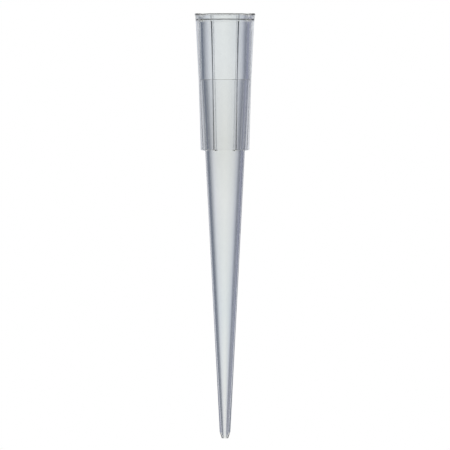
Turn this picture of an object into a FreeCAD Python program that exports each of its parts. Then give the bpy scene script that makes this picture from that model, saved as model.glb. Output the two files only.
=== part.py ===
import FreeCAD, Part
import Sketcher
import os

# Disposable tip for an air-displacement pipette, 200 microlitre size, injection moulded in one shot.
# Millimetres, +Z up. The tip stands on its wide end: the rim face lies in Z = 0 with its centre at the
# origin, and the fine point is at the top, on +Z. The first rib lies in the XZ plane, on the +X side.

doc = FreeCAD.newDocument("PipetteTip")

# ---------------------------------------------------------------------------------------------
# Driving sizes. Heights are measured along the axis from the rim face.
# ---------------------------------------------------------------------------------------------
SIZES = [
    ("overall_length", "51.0", "rim face to the end of the point"),
    # inside: short straight mouth, small step, rounded lead-in, tapered socket for the nozzle,
    # ledge, then one long taper to the orifice
    ("mouth_depth", "0.65", "rim face to the foot of the straight mouth"),
    ("mouth_width", "0.11", "mouth over the socket wall, on the radius"),
    ("lead_in_depth", "1.25", "rim face to the lower end of the lead-in"),
    ("socket_mouth_radius", "2.705", "socket wall at the lower end of the lead-in"),
    ("socket_end_radius", "2.53", "socket wall at the ledge"),
    ("socket_depth", "7.95", "rim face to the ledge that ends the socket"),
    ("ledge_width", "0.17", "the ledge, on the radius"),
    ("orifice_radius", "0.26", "bore at the very end of the point"),
    # outside: every outer radius is the bore beside it plus a wall
    ("wall_at_lip", "0.605", "collar wall thickness at the lower edge of the lip"),
    ("wall_at_shoulder", "0.75", "wall thickness at the lower end of the collar"),
    ("wall_at_cone_top", "0.445", "wall thickness of the cone just below the collar"),
    ("wall_at_point", "0.345", "wall thickness where the point's chamfer starts"),
    ("point_rim", "0.12", "width of the flat ring round the orifice"),
    ("point_length", "0.80", "height of the point's chamfer"),
    ("collar_length", "16.40", "rim face to the shoulder that ends the collar"),
    # lip: a low straight band round the mouth with a thin flange at its top
    ("lip_height", "0.95", "rim face to the lower edge of the lip"),
    ("lip_stand", "0.16", "lip over the collar"),
    ("flange_foot", "0.22", "rim face to the foot of the flange's slanted underside"),
    ("flange_height", "0.14", "rim face to the lower end of the flange's widest part"),
    ("flange_edge", "0.05", "rim face to the upper end of the flange's widest part"),
    ("flange_stand", "0.275", "flange over the collar"),
    ("rim_face_stand", "0.235", "outer edge of the rim face over the collar"),
    # ribs: thin upright fins along the collar, over the lip
    ("rib_count", "6", "evenly spaced"),
    ("rib_width", "0.24", "thickness of a rib"),
    ("rib_over_lip", "0.035", "rib over the lip and its flange"),
    ("rib_flare_height", "0.40", "rim face to the corner in the rib's flare"),
    ("rib_flare_stand", "0.26", "rib over the collar at that corner"),
    ("rib_height_mid", "0.11", "rib over the collar, level with the ledge"),
    ("rib_height_end", "0.205", "rib over the collar, at the shoulder"),
    ("rib_end_rise", "0.16", "how far the rib's slanted end runs on past the shoulder"),
    ("rib_root", "0.12", "how deep a rib is rooted in the wall"),
]

sheet = doc.addObject("Spreadsheet::Sheet", "Sizes")
for row, (alias, number, note) in enumerate(SIZES, start=1):
    sheet.set("A%d" % row, alias)
    sheet.set("B%d" % row, number)
    sheet.setAlias("B%d" % row, alias)
    sheet.set("C%d" % row, note)
doc.recompute()


def size(alias):
    return float(sheet.get(alias))


def expr(text):
    """Write Sizes. before each alias in a formula."""
    out, word = "", ""
    for ch in text + " ":
        if ch.isalnum() or ch == "_":
            word += ch
        else:
            out += ("Sizes." + word) if word and not word[0].isdigit() else word
            out += ch
            word = ""
    return out.strip()


# ---------------------------------------------------------------------------------------------
# Formulas shared by the sketches: (formula for the sheet, the same value as a number)
# ---------------------------------------------------------------------------------------------
L = size("overall_length")
BORE_TOP = ("(socket_end_radius - ledge_width)", size("socket_end_radius") - size("ledge_width"))


def bore_at(height, value):
    """Radius of the long bore at a height: one straight taper from the ledge to the orifice."""
    top = BORE_TOP[1]
    span = L - size("socket_depth")
    number = top - (top - size("orifice_radius")) * (value - size("socket_depth")) / span
    formula = (
        "(" + BORE_TOP[0] + " - (" + BORE_TOP[0] + " - orifice_radius) * (" + height
        + " - socket_depth) / (overall_length - socket_depth))"
    )
    return formula, number


def plus(*pairs):
    return " + ".join(p[0] for p in pairs), sum(p[1] for p in pairs)


def named(alias, factor=1):
    return ("" if factor == 1 else "%g * " % factor) + alias, factor * size(alias)


POINT_START = ("(overall_length - point_length)", L - size("point_length"))
COLLAR_TOP = plus(named("socket_mouth_radius"), named("wall_at_lip"))
COLLAR_END = plus(bore_at("collar_length", size("collar_length")), named("wall_at_shoulder"))
CONE_TOP = plus(bore_at("collar_length", size("collar_length")), named("wall_at_cone_top"))
CONE_END = plus(bore_at(*POINT_START), named("wall_at_point"))
POINT_END = plus(named("orifice_radius"), named("point_rim"))


def collar_at(height, value):
    """Radius of the collar between its ribs at a height: one straight taper, lip to shoulder."""
    share = (value - size("lip_height")) / (size("collar_length") - size("lip_height"))
    number = COLLAR_TOP[1] + (COLLAR_END[1] - COLLAR_TOP[1]) * share
    formula = (
        "((" + COLLAR_TOP[0] + ") + ((" + COLLAR_END[0] + ") - (" + COLLAR_TOP[0] + ")) * (" + height
        + " - lip_height) / (collar_length - lip_height))"
    )
    return formula, number


COLLAR_AT_LEDGE = collar_at("socket_depth", size("socket_depth"))

# Corners of the lead-in's curve: (how far it stands over the socket wall, how far down it is), as
# shares of the mouth's width and of the lead-in's depth
LEAD_IN_CURVE = [(0.36, 0.08), (0.18, 0.42)]


def lead_in_at(over_wall, way_down):
    return (
        plus(named("socket_mouth_radius"), named("mouth_width", over_wall)),
        plus(named("mouth_depth", 1 - way_down), named("lead_in_depth", way_down)),
    )


def draw(sketch, corners):
    """A closed outline of straight lines. Each corner is ((radius formula, number), (height ...))."""
    n = len(corners)
    points = [FreeCAD.Vector(r[1], z[1], 0) for r, z in corners]
    for i in range(n):
        sketch.addGeometry(Part.LineSegment(points[i], points[(i + 1) % n]), False)
    for i in range(n):
        sketch.addConstraint(Sketcher.Constraint("Coincident", i, 2, (i + 1) % n, 1))
    for i, (r, z) in enumerate(corners):
        for kind, (formula, number) in (("DistanceX", r), ("DistanceY", z)):
            if formula == "0":
                k = sketch.addConstraint(Sketcher.Constraint(kind, -1, 1, i, 1, 0.0))
            else:
                k = sketch.addConstraint(Sketcher.Constraint(kind, -1, 1, i, 1, number))
                sketch.setExpression("Constraints[%d]" % k, expr(formula))


def origin_feature(body, role):
    return [f for f in body.Origin.OriginFeatures if f.Role == role][0]


# ---------------------------------------------------------------------------------------------
# The tip: one moulding
# ---------------------------------------------------------------------------------------------
tip = doc.addObject("PartDesign::Body", "pipette_tip")
tip.Label = "pipette_tip"

# Half section of the plain tip, turned about the axis
section = tip.newObject("Sketcher::SketchObject", "TipSection")
section.AttachmentSupport = [(origin_feature(tip, "XZ_Plane"), "")]
section.MapMode = "FlatFace"
draw(section, [
    # down the inside of the mouth, over the lead-in's curve and along the bore to the orifice
    (plus(named("socket_mouth_radius"), named("mouth_width")), ("0", 0.0)),
    (plus(named("socket_mouth_radius"), named("mouth_width")), named("mouth_depth")),
    *[lead_in_at(over_wall, way_down) for over_wall, way_down in LEAD_IN_CURVE],
    (named("socket_mouth_radius"), named("lead_in_depth")),
    (named("socket_end_radius"), named("socket_depth")),
    (BORE_TOP, named("socket_depth")),
    (named("orifice_radius"), named("overall_length")),
    # round the point and back along the outside
    (POINT_END, named("overall_length")),
    (CONE_END, POINT_START),
    (CONE_TOP, named("collar_length")),
    (COLLAR_END, named("collar_length")),
    (COLLAR_TOP, named("lip_height")),
    # lip and flange
    (plus(COLLAR_TOP, named("lip_stand")), named("lip_height")),
    (plus(COLLAR_TOP, named("lip_stand")), named("flange_foot")),
    (plus(COLLAR_TOP, named("flange_stand")), named("flange_height")),
    (plus(COLLAR_TOP, named("flange_stand")), named("flange_edge")),
    (plus(COLLAR_TOP, named("rim_face_stand")), ("0", 0.0)),
])
doc.recompute()

turned = tip.newObject("PartDesign::Revolution", "TurnedTip")
turned.Profile = section
turned.ReferenceAxis = (section, ["V_Axis"])
turned.Angle = 360.0
section.Visibility = False
doc.recompute()
plain_volume = turned.Shape.Volume

# One rib: an outline in the XZ plane that follows the lip and the collar, thickened both ways
rib_outline = tip.newObject("Sketcher::SketchObject", "RibOutline")
rib_outline.AttachmentSupport = [(origin_feature(tip, "XZ_Plane"), "")]
rib_outline.MapMode = "FlatFace"
over = named("rib_over_lip")
rib_end_height = plus(named("collar_length"), named("rib_end_rise"))
draw(rib_outline, [
    (plus(COLLAR_TOP, named("flange_stand"), over), named("flange_edge")),
    (plus(COLLAR_TOP, named("flange_stand"), over), named("flange_height")),
    (plus(COLLAR_TOP, named("rib_flare_stand")), named("rib_flare_height")),
    (plus(COLLAR_TOP, named("lip_stand"), over), named("lip_height")),
    (plus(COLLAR_AT_LEDGE, named("rib_height_mid")), named("socket_depth")),
    (plus(COLLAR_END, named("rib_height_end")), named("collar_length")),
    (plus(CONE_TOP, named("rib_root", -1)), rib_end_height),
    # the root follows the wall, so that it never reaches the bore
    (plus(CONE_TOP, named("rib_root", -1)), named("collar_length")),
    (plus(COLLAR_AT_LEDGE, named("rib_root", -1)), named("socket_depth")),
    (plus(COLLAR_TOP, named("rib_root", -1)), named("flange_edge")),
])
doc.recompute()

rib = tip.newObject("PartDesign::Pad", "Rib")
rib.Profile = rib_outline
rib.Midplane = True
rib.setExpression("Length", "Sizes.rib_width")
rib_outline.Visibility = False
doc.recompute()
one_rib_volume = rib.Shape.Volume

ribs = tip.newObject("PartDesign::PolarPattern", "Ribs")
ribs.Originals = [rib]
ribs.Axis = (origin_feature(tip, "Z_Axis"), [""])
ribs.Angle = 360.0
ribs.setExpression("Occurrences", "Sizes.rib_count")
tip.Tip = ribs
doc.recompute()

tip.Placement = FreeCAD.Placement(FreeCAD.Vector(0, 0, 0), FreeCAD.Rotation())
doc.recompute()

# ---------------------------------------------------------------------------------------------
# Checks, then one STEP file for the one piece
# ---------------------------------------------------------------------------------------------
for obj in doc.Objects:
    if "Invalid" in obj.State or "Error" in obj.State:
        raise RuntimeError("failed: %s %s" % (obj.Name, obj.State))
for sketch in (section, rib_outline):
    if sketch.solve() != 0:
        raise RuntimeError("sketch not solved: " + sketch.Name)

shape = tip.Shape
if shape.isNull() or not shape.isValid() or len(shape.Solids) != 1:
    raise RuntimeError("pipette_tip is not one valid solid")

added = one_rib_volume - plain_volume
nearly_all = 0.9
if added <= 0 or shape.Volume - plain_volume < nearly_all * size("rib_count") * added:
    raise RuntimeError("the ribs added no material")

box = shape.BoundBox
print("volume %.3f mm3, plain %.3f, one rib adds %.4f" % (shape.Volume, plain_volume, added))
print("box X %.3f..%.3f  Y %.3f..%.3f  Z %.3f..%.3f" % (
    box.XMin, box.XMax, box.YMin, box.YMax, box.ZMin, box.ZMax))
for name, (formula, number) in (
    ("collar top", COLLAR_TOP), ("collar end", COLLAR_END), ("cone top", CONE_TOP),
    ("cone end", CONE_END), ("point end", POINT_END), ("bore top", BORE_TOP),
):
    print("radius at %s: %.3f" % (name, number))

os.makedirs("parts", exist_ok=True)
shape.exportStep("parts/pipette_tip.step")
print("wrote parts/pipette_tip.step")
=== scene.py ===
import bpy
import math
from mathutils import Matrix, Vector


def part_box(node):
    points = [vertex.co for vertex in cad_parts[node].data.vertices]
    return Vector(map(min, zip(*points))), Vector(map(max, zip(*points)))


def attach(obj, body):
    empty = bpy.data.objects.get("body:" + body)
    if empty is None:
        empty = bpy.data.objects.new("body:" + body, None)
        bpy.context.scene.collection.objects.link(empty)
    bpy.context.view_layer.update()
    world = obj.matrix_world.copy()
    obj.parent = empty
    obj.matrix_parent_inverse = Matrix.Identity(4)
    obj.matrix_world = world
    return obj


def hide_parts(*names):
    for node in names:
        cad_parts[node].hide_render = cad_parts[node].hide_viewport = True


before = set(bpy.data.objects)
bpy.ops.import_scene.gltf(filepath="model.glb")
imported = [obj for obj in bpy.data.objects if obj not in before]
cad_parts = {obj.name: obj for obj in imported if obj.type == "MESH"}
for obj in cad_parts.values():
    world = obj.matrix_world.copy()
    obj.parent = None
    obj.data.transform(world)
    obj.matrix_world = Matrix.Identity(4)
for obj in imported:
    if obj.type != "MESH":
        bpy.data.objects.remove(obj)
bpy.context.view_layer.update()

# A 200 microlitre pipette tip, one clear moulding, standing on its rim with the point up. The rim
# face lies in z = 0 with its centre at the origin.

MM = 0.001
MICROMETRE = 0.001 * MM
weld = MICROMETRE             # vertices nearer to each other than this are made one
low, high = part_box("pipette_tip")


# --------------------------------------------------------------------------------------------
# Helpers
# --------------------------------------------------------------------------------------------
# the sockets of a Mix node that mixes colours, which share their names with others
FACTOR = 0
FIRST = 6
SECOND = 7
MIXED = 2


def linear(hex_colour):
    """An sRGB hex colour as linear red, green, blue and an alpha of one."""
    parts = [int(hex_colour[i:i + 2], 16) / 255 for i in (1, 3, 5)]
    return [v / 12.92 if v <= 0.04045 else ((v + 0.055) / 1.055) ** 2.4 for v in parts] + [1.0]


def add_node(tree, kind, inputs=(), stops=(), **settings):
    """Adds a node. inputs are pairs of (another node's output socket or a plain value, this
    node's input name or number), and stops are a colour ramp's, as pairs of (place, sRGB hex
    colour or plain level). settings are the node's properties, or its inputs by socket name with
    _ for a space."""
    made = tree.nodes.new(kind)
    for name, value in settings.items():
        socket = name.replace("_", " ")
        if hasattr(made, name):
            setattr(made, name, value)
        else:
            made.inputs[socket].default_value = value
    for source, target in inputs:
        if isinstance(source, bpy.types.NodeSocket):
            tree.links.new(source, made.inputs[target])
        else:
            made.inputs[target].default_value = source
    if stops:
        points = made.color_ramp.elements
        while len(points) < len(stops):
            points.new(1.0)
        for point, (place, colour) in zip(points, stops):
            point.position = place
            point.color = linear(colour) if isinstance(colour, str) else (colour,) * 3 + (1.0,)
    return made


def select_nothing():
    if bpy.context.mode != "OBJECT":
        bpy.ops.object.mode_set(mode="OBJECT")
    bpy.ops.object.select_all(action="DESELECT")


def start_line(name, x, z):
    """A new mesh in edit mode, with one vertex at (x, 0, z), selected."""
    select_nothing()
    bpy.ops.mesh.primitive_plane_add(size=MM, location=(0, 0, 0))
    piece = bpy.context.object
    piece.name = piece.data.name = name
    bpy.ops.object.mode_set(mode="EDIT")
    bpy.ops.mesh.select_mode(type="VERT")
    bpy.ops.mesh.merge(type="CENTER")
    bpy.ops.transform.translate(value=(x, 0, z))
    return piece


def draw_outline(name, corners):
    """A closed outline in the xz plane, drawn corner by corner from pairs of (radius, height)."""
    piece = start_line(name, *corners[0])
    for (x0, z0), (x1, z1) in zip(corners, corners[1:]):
        bpy.ops.mesh.extrude_region_move(TRANSFORM_OT_translate={"value": (x1 - x0, 0, z1 - z0)})
    select_where(piece, lambda v: near(v, corners[0]) or near(v, corners[-1]))
    bpy.ops.mesh.edge_face_add()
    return piece


def near(vertex, place, reach=0.004 * MM):
    return math.hypot(vertex.x - place[0], vertex.z - place[1]) < reach


def select_where(piece, test):
    """Selects, in edit mode, the vertices whose place passes the test."""
    bpy.ops.mesh.select_all(action="DESELECT")
    bpy.ops.object.mode_set(mode="OBJECT")
    for vertex in piece.data.vertices:
        vertex.select = test(vertex.co)
    bpy.ops.object.mode_set(mode="EDIT")


# --------------------------------------------------------------------------------------------
# Sizes of the tip. Depths and heights are measured from the rim face.
# --------------------------------------------------------------------------------------------
length = high.z - low.z
collar_length = 16.40 * MM
point_length = 0.80 * MM      # height of the point's chamfer

# inside: a short straight mouth, a rounded lead-in, the socket, a ledge and the long bore
mouth_depth = 0.65 * MM
mouth_width = 0.11 * MM       # mouth over the socket wall, on the radius
lead_in_depth = 1.25 * MM
socket_mouth_radius = 2.705 * MM
socket_end_radius = 2.53 * MM
socket_depth = 7.95 * MM
ledge_width = 0.17 * MM
orifice_radius = 0.26 * MM

# thickness of the walls, each outside the socket or bore beside it
wall_at_lip = 0.605 * MM
wall_at_shoulder = 0.75 * MM
wall_at_cone_top = 0.445 * MM
wall_at_point = 0.345 * MM
point_rim = 0.12 * MM         # width of the flat ring round the orifice

# lip and flange, standing over the collar
lip_height = 0.95 * MM
lip_stand = 0.16 * MM
flange_foot = 0.22 * MM
flange_height = 0.14 * MM
flange_edge = 0.05 * MM
flange_stand = 0.275 * MM
rim_face_stand = 0.235 * MM

# ribs
rib_count = 6
rib_width = 0.24 * MM
rib_radius = high.x
rib_over_lip = 0.035 * MM
rib_flare_height = 0.40 * MM  # of the corner in the rib's flare
rib_flare_stand = 0.26 * MM   # over the collar, at that corner
rib_height_mid = 0.11 * MM    # over the collar, level with the ledge
rib_height_end = 0.205 * MM   # over the collar, at the shoulder
rib_end_rise = 0.16 * MM      # how far the slanted end runs on past the shoulder
rib_root = 0.12 * MM          # how deep a rib is rooted in the wall
rib_root_at_ledge = 2.915 * MM    # radius of that root, level with the ledge
rib_taper = 0.2               # how much thinner the crest is, and how much thicker the root

# roundings: how far from its corner each one starts
mouth_edge = 0.12 * MM
step_edge = 0.045 * MM        # of the small step inside the mouth
moulded_edge = 0.03 * MM      # what a mould's sharp corners leave
flange_corner = 0.015 * MM    # of the chamfer between the flange and the rim face
rib_crest = 0.05 * MM         # along both sides of a rib's crest
square = 0.0                  # a corner that isn't rounded

# how finely the round shapes are divided
facets = 192                  # round the tip
rounding_steps = 3
crest_steps = 4
smooth_below = math.radians(25)


def whole(worked_out):
    """A size that was worked out, to the nearest micrometre."""
    return round(worked_out / MICROMETRE) * MICROMETRE


def taper(height, lower, upper):
    """The radius at a height on a straight wall between two places, each (radius, height)."""
    share = (height - lower[1]) / (upper[1] - lower[1])
    return whole(lower[0] + (upper[0] - lower[0]) * share)


def lead_in(over_wall, way_down):
    """A corner of the lead-in, by its shares of the mouth's width and of the way down."""
    return (
        whole(socket_mouth_radius + mouth_width * over_wall),
        whole(mouth_depth + (lead_in_depth - mouth_depth) * way_down),
    )


bore_top = (socket_end_radius - ledge_width, socket_depth)
orifice = (orifice_radius, length)
point_start = length - point_length
collar_radius = socket_mouth_radius + wall_at_lip
shoulder = (taper(collar_length, bore_top, orifice) + wall_at_shoulder, collar_length)
cone_top_radius = taper(collar_length, bore_top, orifice) + wall_at_cone_top
point_radius = taper(point_start, bore_top, orifice) + wall_at_point
collar_at_ledge = taper(socket_depth, (collar_radius, lip_height), shoulder)

# --------------------------------------------------------------------------------------------
# The tip: a turned outline with six ribs joined to it
# --------------------------------------------------------------------------------------------
# corner by corner, up the inside and down the outside: radius, height and rounding
profile = [
    (socket_mouth_radius + mouth_width, 0.0, mouth_edge),
    (*lead_in(1.0, 0.0), step_edge),
    (*lead_in(0.36, 0.083), step_edge),
    (*lead_in(0.18, 0.42), square),
    (*lead_in(0.0, 1.0), square),
    (socket_end_radius, socket_depth, moulded_edge),
    (*bore_top, moulded_edge),
    (*orifice, square),
    (orifice_radius + point_rim, length, moulded_edge),
    (point_radius, point_start, moulded_edge),
    (cone_top_radius, collar_length, moulded_edge),
    (*shoulder, moulded_edge),
    (collar_radius, lip_height, moulded_edge),
    (collar_radius + lip_stand, lip_height, moulded_edge),
    (collar_radius + lip_stand, flange_foot, moulded_edge),
    (collar_radius + flange_stand, flange_height, moulded_edge),
    (collar_radius + flange_stand, flange_edge, flange_corner),
    (collar_radius + rim_face_stand, 0.0, flange_corner),
]
tip = draw_outline("moulded_tip", [(radius, height) for radius, height, _ in profile])
for rounding in (mouth_edge, step_edge, moulded_edge, flange_corner):
    corners = [(radius, height) for radius, height, given in profile if given == rounding]
    select_where(tip, lambda v: any(near(v, corner) for corner in corners))
    bpy.ops.mesh.bevel(
        affect="VERTICES", offset=rounding, offset_type="OFFSET", segments=rounding_steps)
bpy.ops.mesh.select_all(action="SELECT")
bpy.ops.mesh.spin(steps=facets, angle=2 * math.pi, center=(0, 0, 0), axis=(0, 0, 1))
bpy.ops.mesh.select_all(action="SELECT")
bpy.ops.mesh.remove_doubles(threshold=weld)
bpy.ops.mesh.normals_make_consistent(inside=False)

# one rib: drawn in outline, given its thickness, its taper and its rounded crest, and then
# repeated round the collar
crest = [
    (rib_radius, flange_edge), (rib_radius, flange_height),
    (collar_radius + rib_flare_stand, rib_flare_height),
    (collar_radius + lip_stand + rib_over_lip, lip_height),
    (collar_at_ledge + rib_height_mid, socket_depth),
    (shoulder[0] + rib_height_end, collar_length),
]
root = [
    (cone_top_radius - rib_root, collar_length + rib_end_rise),
    (cone_top_radius - rib_root, collar_length),
    (rib_root_at_ledge, socket_depth),
    (collar_radius - rib_root, flange_edge),
]
ribs = draw_outline("collar_ribs", crest + root)
bpy.ops.mesh.select_all(action="SELECT")
bpy.ops.mesh.edge_face_add()
bpy.ops.transform.translate(value=(0, -rib_width / 2, 0))
bpy.ops.mesh.extrude_region_move(TRANSFORM_OT_translate={"value": (0, rib_width, 0)})
select_where(ribs, lambda v: any(near(v, corner) for corner in crest))
bpy.ops.transform.resize(value=(1, 1 - rib_taper, 1))
select_where(ribs, lambda v: not any(near(v, corner) for corner in crest))
bpy.ops.transform.resize(value=(1, 1 + rib_taper, 1))
for side in (-1, 1):
    select_where(ribs, lambda v: v.y * side > 0 and any(near(v, corner) for corner in crest))
    bpy.ops.mesh.bevel(affect="EDGES", offset=rib_crest, offset_type="OFFSET", segments=crest_steps)
bpy.ops.mesh.select_all(action="SELECT")
bpy.ops.mesh.normals_make_consistent(inside=False)
bpy.ops.mesh.spin(
    dupli=True, steps=rib_count - 1, angle=2 * math.pi * (rib_count - 1) / rib_count,
    center=(0, 0, 0), axis=(0, 0, 1),
)
select_nothing()

tip.select_set(True)
bpy.context.view_layer.objects.active = tip
joined = tip.modifiers.new("Join ribs", "BOOLEAN")
joined.operation = "UNION"
joined.solver = "EXACT"
joined.object = ribs
bpy.ops.object.modifier_apply(modifier=joined.name)
bpy.data.objects.remove(ribs)
# where a rib meets the flange's edge the join leaves slivers too thin to keep
bpy.ops.object.mode_set(mode="EDIT")
bpy.ops.mesh.select_all(action="SELECT")
bpy.ops.mesh.remove_doubles(threshold=weld)
select_nothing()
tip.select_set(True)
bpy.ops.object.shade_smooth_by_angle(angle=smooth_below)
flats = tip.modifiers.new("Keep long walls true", "WEIGHTED_NORMAL")
flats.mode = "FACE_AREA"
flats.weight = 100
flats.keep_sharp = True
bpy.ops.object.modifier_apply(modifier=flats.name)

# --------------------------------------------------------------------------------------------
# Material
# --------------------------------------------------------------------------------------------
# Clear polypropylene, injection moulded in a polished tool. The skin is glassy and smooth. The
# walls take a little of the light that crosses them, so a wall seen edge on turns dusky.
plastic = bpy.data.materials.new("polypropylene_clear_moulded")
plastic.use_nodes = True
tree = plastic.node_tree
tree.nodes.clear()
place = add_node(tree, "ShaderNodeTexCoord").outputs["Object"]


def streaks(across, along):
    """Noise drawn out along the tip: the size of one patch across the tip and along it."""
    spread = add_node(
        tree, "ShaderNodeMapping", [(place, "Vector")], Scale=(1 / across, 1 / across, 1 / along))
    noise = add_node(
        tree, "ShaderNodeTexNoise", [(spread.outputs[0], "Vector")], Scale=1.0, Detail=2.5)
    return noise.outputs["Fac"]


# the melt leaves faint clouds where it flowed, a millimetre or two across
clouds = streaks(across=1.7 * MM, along=6.7 * MM)
# draw polish leaves lines along the mould, about 0.02 mm apart, drawn coarser here so that they show
lines = streaks(across=0.25 * MM, along=5.0 * MM)

# the skin's near-white tint changes a little with height: lighter and darker in turn up the tip,
# lightest near the point
height = add_node(tree, "ShaderNodeSeparateXYZ", [(place, 0)]).outputs["Z"]
way_up = add_node(
    tree, "ShaderNodeMapRange", [(height, "Value")], From_Min=0.0, From_Max=length).outputs[0]
height_tint = add_node(tree, "ShaderNodeValToRGB", [(way_up, "Fac")], [
    (0.10, "#F0F3F3"), (0.30, "#EDEFED"), (0.45, "#F0F2F1"), (0.70, "#EEF2F2"), (0.95, "#F4F5F3"),
]).outputs["Color"]
patch = add_node(
    tree, "ShaderNodeValToRGB", [(clouds, "Fac")], [(0.3, 0.0), (0.7, 0.25)]).outputs["Color"]
tint = add_node(
    tree, "ShaderNodeMix", [(patch, FACTOR), (height_tint, FIRST), (linear("#FBFCFC"), SECOND)],
    data_type="RGBA").outputs[MIXED]
rough = add_node(
    tree, "ShaderNodeValToRGB", [(lines, "Fac")], [(0.3, 0.015), (0.7, 0.04)]).outputs["Color"]
wave = add_node(
    tree, "ShaderNodeBump", [(clouds, "Height")], Strength=0.1, Distance=0.01 * MM).outputs[0]
skin = add_node(
    tree, "ShaderNodeBsdfPrincipled",
    [(tint, "Base Color"), (rough, "Roughness"), (wave, "Normal")],
    IOR=1.49, Transmission_Weight=1.0)
wall = add_node(
    tree, "ShaderNodeVolumeAbsorption", Color=(0.65, 0.64, 0.62, 1.0), Density=0.14 / MM)
add_node(
    tree, "ShaderNodeOutputMaterial", [(skin.outputs[0], "Surface"), (wall.outputs[0], "Volume")])
tip.data.materials.clear()
tip.data.materials.append(plastic)

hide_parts("pipette_tip")
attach(tip, "root")

# --------------------------------------------------------------------------------------------
# Floor
# --------------------------------------------------------------------------------------------
# White card, a hair below the rim so that the two faces don't meet. Its own glow brings what the
# eye sees of it up to white, and leaves the tip's shadow.
floor_radius = 30 * MM
floor_facets = 96
floor_gap = 0.02 * MM
floor_glow = 0.34
grain_size = 0.7 * MM         # paper's own grain is about a third of this, too fine to show

select_nothing()
bpy.ops.mesh.primitive_circle_add(
    vertices=floor_facets, radius=floor_radius, fill_type="NGON", location=(0, 0, -floor_gap))
floor = bpy.context.object
floor.name = "floor"
card = bpy.data.materials.new("card_matt_white")
card.use_nodes = True
tree = card.node_tree
tree.nodes.clear()
place = add_node(tree, "ShaderNodeTexCoord").outputs["Object"]
grain = add_node(
    tree, "ShaderNodeTexNoise", [(place, "Vector")], Scale=1 / grain_size, Detail=2.0)
paper = add_node(
    tree, "ShaderNodeValToRGB", [(grain.outputs["Fac"], "Fac")], [(0.3, 0.62), (0.7, 0.66)])
matt = add_node(tree, "ShaderNodeBsdfDiffuse", [(paper.outputs["Color"], "Color")])
ray = add_node(tree, "ShaderNodeLightPath").outputs
seen = ray["Is Camera Ray"]
for kind in ("Is Glossy Ray", "Is Transmission Ray"):
    seen = add_node(
        tree, "ShaderNodeMath", [(seen, 0), (ray[kind], 1)], operation="MAXIMUM").outputs[0]
strength = add_node(tree, "ShaderNodeMath", [(seen, 0), (floor_glow, 1)], operation="MULTIPLY")
glow = add_node(tree, "ShaderNodeEmission", [(strength.outputs[0], "Strength")])
both = add_node(tree, "ShaderNodeAddShader", [(matt.outputs[0], 0), (glow.outputs[0], 1)])
add_node(tree, "ShaderNodeOutputMaterial", [(both.outputs[0], "Surface")])
floor.data.materials.append(card)

# --------------------------------------------------------------------------------------------
# Surround: a studio tent, which is all the light there is
# --------------------------------------------------------------------------------------------
# Degrees are counted round the tip from straight behind it, towards the camera's right.
white = "#FFFFFF"
dull_cloth = "#E8E8EC"

# Level with the tip, a white card stands straight behind it, between dusky blue-grey flags. The
# flag on the right has a paler gap in it. Past the flags are a white softbox on each side and, at
# the camera's back, duller cloth.
tent = [
    (-180, dull_cloth), (-150, white), (-115, white),
    (-85, "#7A7C8C"), (-65, "#8C8E98"), (-50, "#747C8C"), (-30, "#808693"),
    (-10, "#E6E7F0"), (0, white), (10, "#D0D2DE"),
    (15, "#9DA0B1"), (26, "#666A7E"), (40, "#A6A8BC"), (60, "#767C8C"),
    (90, white), (120, white), (180, dull_cloth),
]
# From a few degrees up the tent is white, but for a dark valance over the card behind the tip.
valance = 0.04
upper_tent = [(-180, 1.0), (-40, 1.0), (-15, valance), (15, valance), (40, 1.0), (180, 1.0)]
overhead_light = 1.5
card_count = 8


def round_tip(degrees):
    """Where an angle round the tip falls on a ramp."""
    return (degrees + 180) / 360


def up(degrees):
    """Where a height above the horizon falls on a ramp."""
    return (math.sin(math.radians(degrees)) + 1) / 2


world = bpy.data.worlds.new("studio_tent")
bpy.context.scene.world = world
world.use_nodes = True
tree = world.node_tree
tree.nodes.clear()
way = add_node(tree, "ShaderNodeTexCoord").outputs["Generated"]
way = add_node(tree, "ShaderNodeSeparateXYZ", [(way, 0)]).outputs
left = add_node(tree, "ShaderNodeMath", [(way["X"], 0), (-1.0, 1)], operation="MULTIPLY")
turn = add_node(
    tree, "ShaderNodeMath", [(left.outputs[0], 0), (way["Y"], 1)], operation="ARCTAN2")
turn = add_node(
    tree, "ShaderNodeMapRange", [(turn.outputs[0], "Value")],
    From_Min=-math.pi, From_Max=math.pi).outputs[0]
rise = add_node(
    tree, "ShaderNodeMapRange", [(way["Z"], "Value")], From_Min=-1.0, From_Max=1.0).outputs[0]

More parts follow.
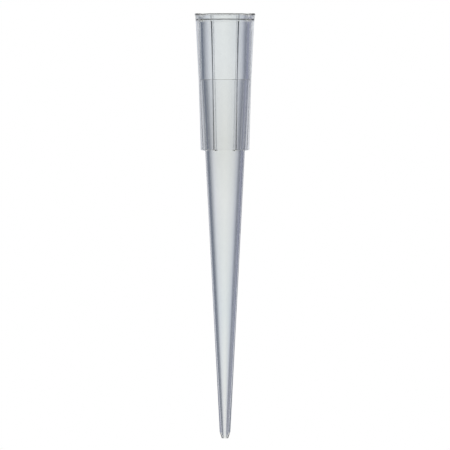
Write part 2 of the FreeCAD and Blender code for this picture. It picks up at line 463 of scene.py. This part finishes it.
level = add_node(
    tree, "ShaderNodeValToRGB", [(turn, "Fac")],
    [(round_tip(degrees), tone) for degrees, tone in tent]).outputs["Color"]
high_up = add_node(
    tree, "ShaderNodeValToRGB", [(turn, "Fac")],
    [(round_tip(degrees), tone) for degrees, tone in upper_tent]).outputs["Color"]

# below the tip: eight white cards in a ring, with grey gaps between them
ring = add_node(
    tree, "ShaderNodeMapRange", [(turn, "Value")], To_Max=card_count * 2 * math.pi)
ring = add_node(tree, "ShaderNodeMath", [(ring.outputs[0], 0)], operation="COSINE")
ring = add_node(tree, "ShaderNodeMapRange", [(ring.outputs[0], "Value")], From_Min=-1.0)
cards = add_node(
    tree, "ShaderNodeValToRGB", [(ring.outputs[0], "Fac")],
    [(0.2, "#9A9DA8"), (0.85, white)]).outputs["Color"]

# from straight down to straight up, each part gives way to the next over a few degrees: plain
# white, the cards, the level ring, the upper tent and the light overhead
light = linear(white)
for begin, end, part in (
    (-60, -50, cards), (-22, -19, level), (3, 9, high_up), (45, 60, [overhead_light] * 3 + [1.0]),
):
    share = add_node(
        tree, "ShaderNodeValToRGB", [(rise, "Fac")], [(up(begin), 0.0), (up(end), 1.0)])
    light = add_node(
        tree, "ShaderNodeMix",
        [(share.outputs["Color"], FACTOR), (light, FIRST), (part, SECOND)],
        data_type="RGBA").outputs[MIXED]
light = add_node(tree, "ShaderNodeBackground", [(light, "Color")], Strength=1.0)
add_node(tree, "ShaderNodeOutputWorld", [(light.outputs[0], "Surface")])

# --------------------------------------------------------------------------------------------
# Camera
# --------------------------------------------------------------------------------------------
# Level with the middle of the tip and without perspective, as a very long lens sees it, with the
# picture turned so that the rim is on top
camera_height = low.z + 25.41 * MM
camera_distance = 300 * MM
field = 54.0 * MM

bpy.ops.object.camera_add(
    location=(0, -camera_distance, camera_height), rotation=(math.pi / 2, math.pi, 0))
camera = bpy.context.object
camera.name = "camera"
camera.data.type = "ORTHO"
camera.data.ortho_scale = field
camera.data.clip_start = 10 * MM
camera.data.clip_end = 10.0
bpy.context.scene.camera = camera

bpy.context.scene.view_settings.view_transform = "Standard"

bpy.context.view_layer.update()
